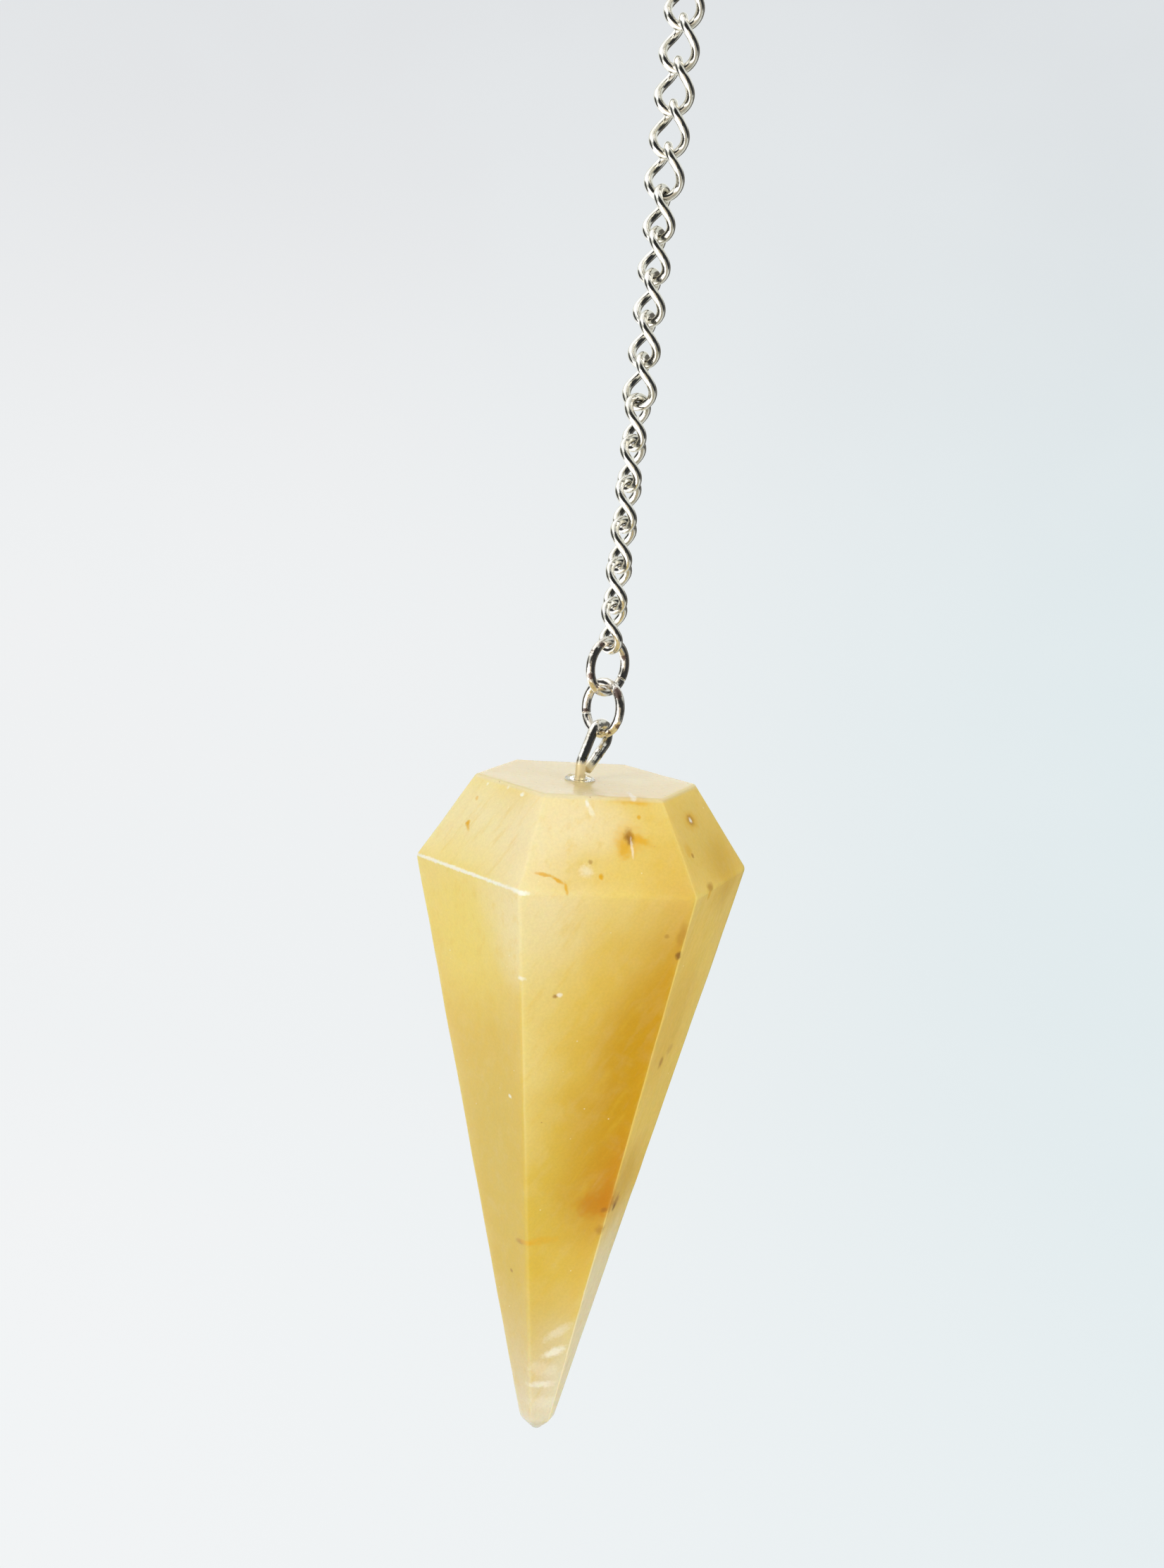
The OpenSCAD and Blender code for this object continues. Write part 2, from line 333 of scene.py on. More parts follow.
# Deeper colours that one facet alone shows, in the same columns
DEPTHS = [
    (4, -2.4, 12.4, 4.6, 6.6, 6, 0, GOLD, 0.7),
    (4, -1.2, 9.2, 4.6, 4.6, 6, 0, LEMON, 0.6),
    (0, 0.0, 16.0, 5.0, 20.0, 6, 0, TAN, 0.95),
    (0, 0.4, 3.2, 4.6, 3.2, 6, 0, HONEY, 0.8),
    (0, 1.6, 4.9, 2.6, 1.8, 6, 0, AMBER, 0.4),
    (0, 0.0, 33.5, 3.0, 4.5, 6, 0, PALE, 0.95),
    (0, 0.0, 39.5, 3.0, 7.0, 6, 0, SAND, 0.95),
    (0, -0.8, 26.0, 2.6, 2.4, 6, 0, AMBER, 0.45),
    (0, -1.2, 14.5, 2.2, 4.0, 6, 0, AMBER, 0.25),
    (1, 0.0, 20.0, 4.0, 14.0, 6, 0, HONEY, 0.7),
    (2, 1.0, 16.0, 3.6, 9.0, 6, 8, AMBER, 0.6),
    (3, 0.0, 26.0, 4.0, 12.0, 6, 0, GOLD, 0.7),
    (5, -4.6, 15.5, 2.6, 9.0, 6, 0, CREAM, 0.6),
    (5, 0.8, 31.4, 2.4, 3.4, 6, 0, GOLD, 0.45),
    (5, 0.9, 26.6, 1.8, 2.8, 6, 0, AMBER, 0.4),
    (5, 5.4, 16.6, 4.8, 12.4, 6, -8, AMBER, 0.92),
    (5, 3.8, 19.6, 2.8, 9.0, 6, -6, AMBER, 0.85),
    (5, 3.0, 25.4, 1.5, 3.2, 6, -6, SIENNA, 0.5),
    (5, 5.0, 15.6, 1.9, 3.6, 6, -8, AMBER, 0.6),
]

# Iron stains, pits' rims, cracks, rubbed edges, a painted highlight and painted glints, in the
# same columns
STAINS_AND_HIGHLIGHTS = [
    # Front of the crown
    (5, 1.50, 2.40, 0.80, 0.80, 1.5, 12, OCHRE, 0.50),
    (5, 1.22, 2.85, 0.36, 0.55, 1.5, -14, OCHRE, 0.70),
    (5, 2.20, 2.32, 0.75, 0.20, 1.5, -20, OCHRE, 0.70),
    (5, 1.54, 2.20, 0.26, 0.42, 1.5, 8, RUST, 0.70),
    (5, 1.50, 2.34, 0.11, 0.24, 1.5, 8, UMBER, 0.35),
    (5, 1.70, 2.80, 0.08, 0.50, 1.5, 6, WHITE, 0.50),
    (5, 1.35, 0.12, 0.60, 0.22, 1.5, 0, OCHRE, 0.45),
    (5, 2.30, 0.20, 0.70, 0.22, 1.5, 0, OCHRE, 0.55),
    (5, 1.90, 0.02, 0.16, 0.14, 1.5, 0, WHITE, 0.80),
    (5, 2.20, 1.05, 0.10, 0.12, 1.5, 0, OCHRE, 0.80),
    (5, -3.75, 4.42, 0.50, 0.09, 1.5, -8, OCHRE, 0.75),
    (5, -2.95, 4.68, 0.42, 0.09, 1.5, -28, OCHRE, 0.85),
    (5, -2.42, 5.10, 0.09, 0.34, 1.5, 14, OCHRE, 0.80),
    (5, -0.89, 3.64, 0.14, 0.11, 1.5, 0, RUST, 0.55),
    (5, -1.16, 4.14, 0.36, 0.30, 1.5, 0, WHITE, 0.40),
    (5, -0.26, 4.42, 0.15, 0.15, 1.5, 0, OCHRE, 0.95),
    # Painted glints of the glue just below the stem's foot
    (5, -1.02, 0.40, 0.10, 0.22, 1.5, 10, WHITE, 0.80),
    (5, -0.77, 0.85, 0.14, 0.30, 1.5, 22, WHITE, 0.50),
    (5, -3.95, 2.50, 0.24, 1.30, 1.5, 5, MILK, 0.60),
    # Left of the crown
    (4, -2.04, 2.79, 0.16, 0.16, 1.5, 0, OCHRE, 0.90),
    (4, -1.85, 2.98, 0.30, 0.10, 1.5, -40, OCHRE, 0.75),
    (4, -2.39, 1.34, 0.12, 0.12, 1.5, 0, OCHRE, 0.50),
    (4, 1.43, 0.40, 0.14, 0.12, 1.5, 0, WHITE, 0.80),
    (4, -0.13, 0.26, 0.10, 0.10, 1.5, 0, WHITE, 0.60),
    (4, -2.11, 0.41, 0.10, 0.10, 1.5, 0, WHITE, 0.60),
    # Girdle: a painted highlight along its left edge, and the chip at its end
    (4, 0.00, 5.38, 9.00, 0.10, 0.4, 0, WHITE, 0.92),
    (5, -5.05, 5.48, 0.40, 0.12, 1.0, 0, WHITE, 0.90),
    # Right of the crown and just below it
    (0, -0.33, 1.68, 1.00, 0.50, 1.5, 0, OCHRE, 0.55),
    (0, -0.33, 1.66, 0.50, 0.28, 1.5, 0, RUST, 0.60),
    (0, -0.33, 1.66, 0.20, 0.13, 1.5, 0, WHITE, 0.85),
    (0, -2.97, 3.00, 0.50, 0.40, 1.5, 0, OCHRE, 0.45),
    (0, -2.72, 3.37, 0.18, 0.11, 1.5, 0, RUST, 0.60),
    (0, -2.20, 5.28, 0.50, 0.24, 1.5, 0, RUST, 0.55),
    (0, -2.43, 5.75, 0.24, 0.28, 1.5, 0, OCHRE, 0.60),
    # Long facets and the point
    (5, 5.02, 7.90, 0.26, 0.80, 1.5, -8, RUST, 0.35),
    (5, 4.99, 9.22, 0.17, 0.24, 1.5, 0, UMBER, 0.75),
    (5, 4.08, 7.98, 0.14, 0.12, 1.5, 0, RUST, 0.40),
    (0, -1.09, 17.4, 0.34, 0.34, 1.5, 10, RUST, 0.60),
    (0, 0.13, 16.8, 0.55, 0.30, 1.5, 0, RUST, 0.25),
    (5, 2.00, 26.9, 1.20, 0.80, 2.5, 6, SIENNA, 0.65),
    (5, 2.60, 26.4, 0.50, 1.20, 2.0, 0, SIENNA, 0.60),
    (5, 2.50, 27.3, 0.24, 0.18, 1.5, 0, RUST, 0.60),
    (5, 2.40, 28.8, 0.30, 0.30, 1.5, 0, RUST, 0.45),
    (0, -1.30, 27.2, 0.50, 0.45, 1.5, 0, RUST, 0.60),
    (0, -1.40, 27.5, 0.24, 0.26, 1.5, 0, UMBER, 0.60),
    (4, 1.70, 30.0, 0.36, 0.18, 1.5, 8, RUST, 0.55),
    (4, 2.20, 29.9, 0.60, 0.16, 1.5, 6, OCHRE, 0.60),
    (5, -1.20, 29.6, 0.90, 0.24, 1.5, 8, OCHRE, 0.40),
    (4, 0.38, 32.6, 0.12, 0.11, 1.5, 0, RUST, 0.60),
    (4, 2.30, 19.6, 0.13, 0.12, 1.5, 0, WHITE, 0.80),
    (5, -2.35, 12.2, 0.14, 0.13, 1.5, 0, RUST, 0.70),
    (5, -2.10, 12.1, 0.16, 0.14, 1.5, 0, WHITE, 0.70),
    (4, 4.67, 11.1, 0.18, 0.14, 1.5, 0, WHITE, 0.70),
    (5, 0.45, 36.7, 0.90, 0.30, 1.5, 38, WHITE, 0.35),
    (5, 0.45, 38.2, 0.70, 0.28, 1.5, 28, WHITE, 0.70),
    (5, -0.20, 40.8, 0.75, 0.24, 1.5, 6, WHITE, 0.60),
    (5, -0.20, 39.6, 0.90, 0.50, 1.5, -10, WHITE, 0.25),
    (5, 0.10, 42.3, 1.00, 0.45, 1.5, 0, WHITE, 0.30),
    # Back, which the photograph doesn't show
    (2, 0.80, 3.00, 0.50, 0.30, 1.5, 20, OCHRE, 0.70),
    (3, -1.50, 18.0, 0.60, 0.10, 1.5, 25, RUST, 0.60),
    (3, 1.60, 8.20, 0.70, 0.45, 1.5, 0, OCHRE, 0.55),
    (3, 1.70, 8.30, 0.24, 0.18, 1.5, 0, UMBER, 0.55),
    (2, 1.90, 14.0, 0.55, 0.14, 1.5, -24, RUST, 0.55),
    (2, -1.60, 22.5, 0.80, 0.60, 2.0, 0, OCHRE, 0.45),
    (2, 0.20, 38.5, 0.60, 0.28, 1.5, -14, WHITE, 0.45),
    (1, -1.40, 9.00, 0.90, 0.50, 1.5, 12, OCHRE, 0.50),
    (1, -1.30, 9.10, 0.36, 0.24, 1.5, 12, RUST, 0.60),
    (1, 1.20, 30.0, 0.30, 0.50, 1.5, 0, OCHRE, 0.60),
]


def stone_material(place):
    """Translucent polished quartz: clouds of cream, honey and amber, iron stains,
    cracks, dust and fine lines from the polishing wheel, with painted shade low on
    the left, a painted sheen on the top, a painted highlight and painted glints."""
    corners = stone_corners(place)
    s = Shader("stone_quartz")
    s.place = s.node("Mapping", {"Vector": s.place, "Location": place.translation / MM,
                                 "Rotation": place.to_euler()}, vector_type="TEXTURE").outputs[0]
    drifting = s.wandering(0.22, 2, 0.5, 2.6)
    ragged = s.wandering(4.0, 3, 0.6, 0.16)
    frayed = s.calc("MULTIPLY", s.calc("SUBTRACT", s.noise(3.0, 3, 0.6), 0.5), 0.65)
    colour = clouds_and_shade(s, corners, drifting)
    colour = stone_streaks(s, colour, drifting)
    # Stains, with the painted girdle highlight and glue glints among them
    for row in STAINS_AND_HIGHLIGHTS:
        amount, tint = patch(s, corners, row, ragged, STAIN_AND_HIGHLIGHT_EDGE, frayed)
        colour = s.mix(amount, colour, tint)
    colour = stone_top(s, colour, ragged)
    grain = s.noise(6, 3, 0.7)
    colour = s.mix(1.0, colour, s.ramp(grain, 0.3, 0.7, 0.96, 1.02), "MULTIPLY")
    dust = s.specks(1.3, 0.085, 0.16)
    colour = s.mix(s.calc("MULTIPLY", dust, 0.75), colour, PALE)
    freckles = s.specks(0.9, 0.07, 0.1, ragged)
    colour = s.mix(s.calc("MULTIPLY", freckles, 0.55), colour, RUST)

    lines = s.noise(1, 2, 0.5, s.stretched((9, 9, 0.8)))
    pits = s.calc("ADD", dust, freckles)
    relief = s.calc("SUBTRACT", s.calc("MULTIPLY", lines, 0.07), pits)
    waves = s.bump(s.noise(0.3, 2, 0.5), 0.2, 0.12)
    normal = s.bump(relief, 0.35, 0.02, waves)
    roughness = s.calc("ADD", s.ramp(s.noise(2.4, 4, 0.6), 0.3, 0.75, 0.16, 0.27),
                       s.calc("MULTIPLY", pits, 0.3))
    return s.set(Base_Color=colour, Roughness=roughness, Normal=normal, IOR=1.54,
                 Specular_IOR_Level=0.3, Subsurface_Weight=0.5,
                 Subsurface_Radius=(1.0, 0.6, 0.22), Subsurface_Scale=2.4 * MM)


def patch(s, corners, row, place, edge, fray=None):
    """Amount and colour of a row: a ball's gradient, stretched to the row's
    size and faded out from its edge share."""
    facet, across, down, half_width, half_height, depth, tilt, colour, strength = row
    shape = s.node("Mapping", {
        "Vector": place,
        "Location": facet_point(corners, facet, across, down),
        "Rotation": (math.radians(tilt), 0, math.radians(facing(facet))),
        "Scale": (2 * depth, 2 * half_width, 2 * half_height),
    }, vector_type="TEXTURE")
    ball = s.node("TexGradient", {"Vector": shape.outputs[0]}, gradient_type="SPHERICAL")
    near = ball.outputs["Fac"]
    if fray is not None:
        near = s.calc("ADD", near, fray)
    return s.ramp(near, edge / 2, 1 - edge / 2, 0, strength), colour


def facet_shares(s):
    """Each facet's share of its own colours: whole on it, none past its edges."""
    normal = s.node("TexCoord", {}).outputs["Normal"]
    level = s.vector("NORMALIZE", s.vector("MULTIPLY", normal, (1, 1, 0)))
    return [s.ramp(s.vector("DOT_PRODUCT", level, heading(facing(facet))), *FACET_FADE)
            for facet in range(FACETS)]


def clouds_and_shade(s, corners, drifting):
    """Cream to honey ground with the clouds, painted shade low on the left facet, and each
    facet's deeper colours.
    """
    shares = facet_shares(s)
    veils = s.noise(0.16, 3, 0.45, s.stretched((1, 1, 0.6)))
    colour = s.mix(s.ramp(veils, 0.3, 0.75), CREAM, HONEY)
    for row in CLOUDS_AND_SHADE:
        amount, tint = patch(s, corners, row, drifting, CLOUD_AND_SHADE_EDGE)
        colour = s.mix(amount, colour, tint)
    for row in DEPTHS:
        amount, tint = patch(s, corners, row, drifting, CLOUD_AND_SHADE_EDGE)
        colour = s.mix(s.calc("MULTIPLY", amount, shares[row[0]]), colour, tint)
    return colour


def stone_streaks(s, colour, drifting):
    """Pale wisps, and golden and milky streaks that lean across the stone."""
    wisps = s.ramp(s.noise(0.6, 4, 0.55, drifting), 0.45, 0.8)
    colour = s.mix(s.calc("MULTIPLY", wisps, 0.08), colour, PALE)
    leaning = s.node("Mapping", {"Vector": s.place, "Rotation": (0, math.radians(STREAK_LEAN), 0),
                                 "Scale": (0.55, 0.55, 3.0)}, vector_type="TEXTURE").outputs[0]
    streaks = s.noise(1, 4, 0.55, leaning)
    colour = s.mix(s.ramp(streaks, 0.5, 0.75, 0, 0.26), colour, GOLD)
    return s.mix(s.ramp(streaks, 0.5, 0.3, 0, 0.05), colour, MILK)


def stone_top(s, colour, ragged):
    """Flat top paled by a painted sheen, its reflection painted into its colour, with dark
    specks.
    """
    height = s.node("SeparateXYZ", {0: s.place}).outputs[2]
    flat_top = s.ramp(height, -0.3, -0.12)
    # Painted sheen: the flat top paled as its reflection would pale it
    colour = s.mix(s.calc("MULTIPLY", flat_top, 0.45), colour, PAINTED_TOP_SHEEN)
    on_top = s.calc("MULTIPLY", flat_top, s.specks(2.6, 0.16, 0.22, ragged))
    return s.mix(s.calc("MULTIPLY", on_top, 0.6), colour, UMBER)


def glue_material():
    """Clear glue, slightly clouded."""
    s = Shader("clear_glue")
    clouds = s.noise(5, 3, 0.6)
    colour = s.mix(s.ramp(clouds, 0.4, 0.7), tone(250, 248, 240), tone(240, 232, 208))
    normal = s.bump(s.noise(4, 3, 0.5), 0.3, 0.05)
    return s.set(Base_Color=colour, Roughness=s.ramp(clouds, 0.3, 0.8, 0.02, 0.1), Normal=normal,
                 IOR=1.12, Transmission_Weight=1.0, Coat_Weight=1.0, Coat_Roughness=0.03)


def finish_mesh(name, verts, faces, material, body, node, slot, **marks):
    """Mesh object from points in millimetres, riding on a body in a node's place.
    marks are named values of its points that its material reads."""
    mesh = bpy.data.meshes.new(name)
    mesh.from_pydata([point * MM for point in verts], [], faces)
    mesh.polygons.foreach_set("use_smooth", [True] * len(mesh.polygons))
    for mark, values in marks.items():
        mesh.attributes.new(mark, "FLOAT", "POINT").data.foreach_set("value", values)
    mesh.materials.append(material)
    mesh.validate()
    made = bpy.data.objects.new(name, mesh)
    bpy.context.scene.collection.objects.link(made)
    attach(made, body)
    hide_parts(node)


def spoke_angles():
    """Angles round a wire of the points of its sections."""
    return [math.tau * k / WIRE_SIDES for k in range(WIRE_SIDES)]


def tube(stations, radius, closed):
    """Points and faces of a wire through stations, each a (middle, side, face)
    of one section. radius(station, angle) is its radius at an angle round it."""
    verts = []
    for i, (middle, side, face) in enumerate(stations):
        for angle in spoke_angles():
            spoke = math.cos(angle) * side + math.sin(angle) * face
            verts.append(middle + radius(i, angle) * spoke)
    faces = []
    sides = WIRE_SIDES
    rows = len(stations)
    for i in range(rows if closed else rows - 1):
        here, there = i * sides, (i + 1) % rows * sides
        for k in range(sides):
            after = (k + 1) % sides
            faces.append((here + k, there + k, there + after, here + after))
    if not closed:
        faces.append(tuple(range(sides)))
        faces.append(tuple(reversed(range((rows - 1) * sides, rows * sides))))
    return verts, faces


def cut_end(i, rows):
    """Share of the wire's radius near a cut end, which has a slight chamfer."""
    from_end = min(i, rows - 1 - i)
    return CUT_END_SHARES[min(from_end, len(CUT_END_SHARES) - 1)]


def link_heading(turn, a):
    """Turn of a curb link's plane at an angle round the link, from its twist."""
    return turn - LINK_TWIST / 2 * math.sin(math.pi / 2 * math.sin(a))


def link_middle(centre, turn, a):
    """Middle of a curb link's wire at an angle round it: a twisted oval."""
    out = (LINK_WIDTH - LINK_WIRE) / 2 * math.cos(a)
    rise = UP * (LINK_LENGTH - LINK_WIRE) / 2 * math.sin(a)
    return centre + out * heading(link_heading(turn, a)) + rise


def curb_link(i, turn, material):
    """Twisted link, worn brown inside its ends where the next ones bear."""
    node = f"curb_link_{i + 1:02d}"
    centre = Vector((0, 0, middle_of(node).z))
    step = math.tau / LINK_STEPS
    stations = []
    for j in range(LINK_STEPS):
        a = j * step
        run = link_middle(centre, turn, a + step) - link_middle(centre, turn, a - step)
        run.normalize()
        side = run.cross(heading(link_heading(turn, a) + 90)).normalized()
        stations.append((link_middle(centre, turn, a), side, side.cross(run)))

    def radius(j, angle):
        seed = Vector((math.cos(j * step) * 2, math.sin(j * step) * 2, i * 7.3))
        return LINK_WIRE / 2 * (1 + LINK_UNEVEN * noise.noise(seed))

    verts, faces = tube(stations, radius, True)
    wear = []
    for j, (middle, side, face) in enumerate(stations):
        at_end = smooth((abs(math.sin(j * step)) - LINK_WEAR_FROM) / (1 - LINK_WEAR_FROM))
        for angle in spoke_angles():
            spoke = math.cos(angle) * side + math.sin(angle) * face
            inward = max(0, spoke.dot((centre - middle).normalized()))
            wear.append(LINK_WEAR * at_end * inward)
    finish_mesh(f"link_{i + 1:02d}", verts, faces, material, "chain", node, "chain_metal",
                wear=wear)


def ring_stations(centre, turn, radius, angles):
    """Sections of an upright ring at angles round it."""
    along = heading(turn)
    flat = along.cross(UP)
    made = []
    for angle in angles:
        out = math.cos(angle) * along + math.sin(angle) * UP
        made.append((centre + radius * out, out, flat))
    return made


def degrees_apart(angle, mark):
    """Degrees between an angle in radians and a mark's in degrees."""
    off = angle - math.radians(mark)
    return abs(math.degrees(math.atan2(math.sin(off), math.cos(off))))


def jump_ring(name, node, body, turn, seam, marks, material):
    """Ring bent shut at its seam, dented and worn where its marks say."""
    half_gap = math.degrees(SEAM_GAP / (RING_WIDTH - RING_WIRE))
    start, end = math.radians(seam + half_gap), math.radians(seam + 360 - half_gap)
    angles = [start + (end - start) * i / (RING_STEPS - 1) for i in range(RING_STEPS)]
    stations = ring_stations(middle_of(node), turn, (RING_WIDTH - RING_WIRE) / 2, angles)

    def marked(i, angle):
        """Depth and wear of the marks at a section and an angle round the wire."""
        total_depth = total_wear = 0
        for ring_angle, half_length, wire_angle, half_width, depth, wear in marks:
            along = smooth(1 - degrees_apart(angles[i], ring_angle) / half_length)
            around = smooth(1 - degrees_apart(angle, wire_angle) / half_width)
            total_depth += depth * along * around
            total_wear += wear * along * around
        return total_depth, total_wear

    def radius(i, angle):
        spot = Vector((math.cos(angles[i]), math.sin(angles[i]), math.cos(angle) / 3)) * 9
        gouge = max(0, noise.noise(spot + UP * turn) - 0.1)
        dent, _ = marked(i, angle)
        depth = dent * (DENT_SHARE + GOUGE_SHARE * gouge)
        return cut_end(i, RING_STEPS) * (RING_WIRE / 2 - depth)

    verts, faces = tube(stations, radius, False)
    wear = []
    for i in range(RING_STEPS):
        for angle in spoke_angles():
            _, worn = marked(i, angle)
            wear.append(min(1, worn))
    finish_mesh(name, verts, faces, material, body, node, "ring_metal", wear=wear)


# Dents and wear of the jump rings: angle round the ring, half the mark's length
# in degrees, angle round the wire, half its width in degrees, depth and wear
UPPER_MARKS = [
    (150, 12, 0, 110, 0.05, 0.55),
    (128, 16, 60, 90, 0.05, 0.75),
    (200, 20, 40, 80, 0.02, 0.8),
    (62, 16, 120, 80, 0.04, 0.6),
    (26, 18, 140, 80, 0.02, 0.8),
    (230, 14, 80, 60, 0.01, 0.6),
]
LOWER_MARKS = [
    (-30, 14, 0, 110, 0.05, 0.75),
    (-52, 12, 50, 90, 0.06, 0.7),
    (-10, 12, -60, 80, 0.03, 0.6),
    (38, 28, 40, 100, 0.01, 1.0),
    (194, 9, 135, 80, 0.01, 1.0),
    (150, 30, 130, 60, 0.03, 0.35),
]


def end_ring(material):
    """Plain closed ring, worn a little at its lowest place, where the chain hangs."""
    angles = [math.tau * i / RING_STEPS for i in range(RING_STEPS)]
    reach = (END_RING_WIDTH - END_RING_WIRE) / 2
    stations = ring_stations(middle_of("end_ring"), 0, reach, angles)

    def radius(i, angle):
        spot = Vector((math.cos(angles[i]), math.sin(angles[i]), math.cos(angle) / 4)) * 3
        return END_RING_WIRE / 2 * (1 + END_RING_UNEVEN * noise.noise(spot))

    verts, faces = tube(stations, radius, True)
    wear = []
    for ring_angle in angles:
        lowest = smooth((-math.sin(ring_angle) - 0.9) * 10)
        wear += [END_RING_WEAR * lowest * max(0, -math.cos(angle)) for angle in spoke_angles()]
    finish_mesh("hang_ring", verts, faces, material, "chain", "end_ring", "ring_metal",
                wear=wear)


def stone_frame():
    """Where the stone's own frame lies: its flat top's centre and its tilt,
    from the CAD stone's point and flat top."""
    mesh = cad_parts["stone"].data
    point = min((v.co for v in mesh.vertices), key=lambda co: co.z)
    top = max(mesh.polygons, key=lambda face: face.area * (face.normal.z > 0.9))
    axis = top.normal.normalized()
    tilt = UP.rotation_difference(axis).to_matrix().to_4x4()
    return Matrix.Translation(point + axis * STONE_LENGTH * MM) @ tilt


def stem_foot():
    """Where the eye pin's stem leaves the flat top."""
    return heading(EYE_TURN) * -STEM_OFFSET


def facing(facet):
    """Turn of a facet's outward heading."""
    return FIRST_FACING + 360 / FACETS * facet


def stone_corners(place):
    """The CAD stone's corners in its own frame, in millimetres: three rings of
    six in order round the stone, and the point."""
    back = place.inverted()
    found = {(round(co.x, 2), round(co.y, 2), round(co.z, 2)): co
             for co in (back @ v.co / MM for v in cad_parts["stone"].data.vertices)}
    hole = stem_foot()
    first = math.radians(FIRST_FACING)

    def in_hole(co):
        return co.z > -STONE_LENGTH / 2 and (co - hole).xy.length < EYE_WIRE

    def order(co):
        return (math.atan2(co.y, co.x) - first) % math.tau

    point = min(found.values(), key=lambda co: co.z)
    cut = [co for co in found.values() if co is not point and not in_hole(co)]
    levels = sorted({round(co.z, 1) for co in cut}, reverse=True)
    rings = [sorted((co for co in cut if round(co.z, 1) == level), key=order)
             for level in levels]
    return rings, point


def facet_point(corners, facet, across, down):
    """Point on a facet, across it from its middle and down from the flat top."""
    rings, point = corners
    out = heading(facing(facet))
    depths = [-ring[0].z for ring in rings] + [-point.z]
    reach = [ring[facet - 1].dot(out) for ring in rings] + [0]
    k = next(k for k in range(len(rings)) if down <= depths[k + 1])
    share = (down - depths[k]) / (depths[k + 1] - depths[k])
    level = reach[k] + share * (reach[k + 1] - reach[k])
    return out * level + heading(facing(facet) + 90) * across - UP * down


def faceted(rings, point):
    """Working mesh of the flat top, the facets and the point, with rounded edges."""
    work = bmesh.new()
    made = [[work.verts.new(co) for co in ring] for ring in rings]
    end = work.verts.new(point)
    work.faces.new(made[0])
    for upper, lower in zip(made, made[1:]):
        for k in range(FACETS):
            after = (k + 1) % FACETS
            work.faces.new((upper[k], lower[k], lower[after], upper[after]))
    for k in range(FACETS):
        work.faces.new((made[-1][k], end, made[-1][(k + 1) % FACETS]))
    bmesh.ops.bevel(work, geom=work.edges[:], offset=EDGE_ROUND, segments=EDGE_STEPS,
                    profile=0.5, affect="EDGES", clamp_overlap=True)
    return work


def cut_to_cells(work):
    """Cuts a working mesh on a grid, fine enough for its waves."""
    lows = [min(v.co[k] for v in work.verts) for k in range(3)]
    highs = [max(v.co[k] for v in work.verts) for k in range(3)]
    for k in range(3):
        normal = Vector((k == 0, k == 1, k == 2))
        for cut in range(1, int((highs[k] - lows[k]) / CELL)):
            bmesh.ops.bisect_plane(work, geom=work.verts[:] + work.edges[:] + work.faces[:],
                                   dist=1e-4, plane_co=normal * (lows[k] + cut * CELL),
                                   plane_no=normal)


def stone(place, material):
    """Faceted stone with rounded edges and slightly wavy faces."""
    work = faceted(*stone_corners(place))
    cut_to_cells(work)
    bmesh.ops.recalc_face_normals(work, faces=work.faces[:])
    for vert in work.verts:
        wave = sum(height * noise.noise(vert.co * scale) for height, scale in POLISH_WAVES)
        vert.co += vert.normal * wave
    mesh = bpy.data.meshes.new("stone_body")
    work.to_mesh(mesh)
    work.free()
    mesh.transform(place @ Matrix.Scale(MM, 4))
    mesh.polygons.foreach_set("use_smooth", [True] * len(mesh.polygons))
    mesh.materials.append(material)
    body = bpy.data.objects.new("stone_body", mesh)
    bpy.context.scene.collection.objects.link(body)
    even = body.modifiers.new("even_normals", "WEIGHTED_NORMAL")
    even.keep_sharp = True
    even.weight = NORMAL_WEIGHT
    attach(body, "drop")
    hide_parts("stone")


def arc(centre, radius, start, end):
    """Points along an arc, angles in degrees."""
    steps = max(2, int(abs(math.radians(end - start)) * radius / PATH_STEP))
    return [centre + radius * heading(start + (end - start) * i / steps).xy
            for i in range(steps + 1)]


def line(start, end):
    """Points along a straight run."""
    steps = max(2, int((end - start).length / PATH_STEP))
    return [start.lerp(end, i / steps) for i in range(steps + 1)]


def angle_of(way):
    """Angle of a direction in the pin's plane, in degrees."""
    return math.degrees(math.atan2(way.y, way.x))


def eye_path():
    """The eye pin's middle line, in its plane, from inside the stone to its free end."""
    bend_centre = Vector((BEND_RADIUS, BEND_HEIGHT))
    eye_centre = Vector((EYE_REACH, EYE_HEIGHT - EYE_RADIUS))
    rise = eye_centre - bend_centre
    lean = math.degrees(math.asin((EYE_RADIUS - BEND_RADIUS) / rise.length))
    rise_heading = angle_of(rise) + lean
    back = eye_centre - FREE_END
    back_heading = angle_of(back) - math.degrees(math.asin(EYE_RADIUS / back.length))
    bend = arc(bend_centre, BEND_RADIUS, 180, rise_heading + 90)
    eye = arc(eye_centre, EYE_RADIUS, rise_heading + 90, back_heading - 90)
    stem = line(Vector((0, -STEM_SUNK)), Vector((0, BEND_HEIGHT)))
    points = stem + bend[1:-1] + line(bend[-1], eye[0]) + eye[1:-1] + line(eye[-1], FREE_END)
    return [p for p, q in zip(points, [None] + points[:-1]) if q is None or (p - q).length > 1e-4]


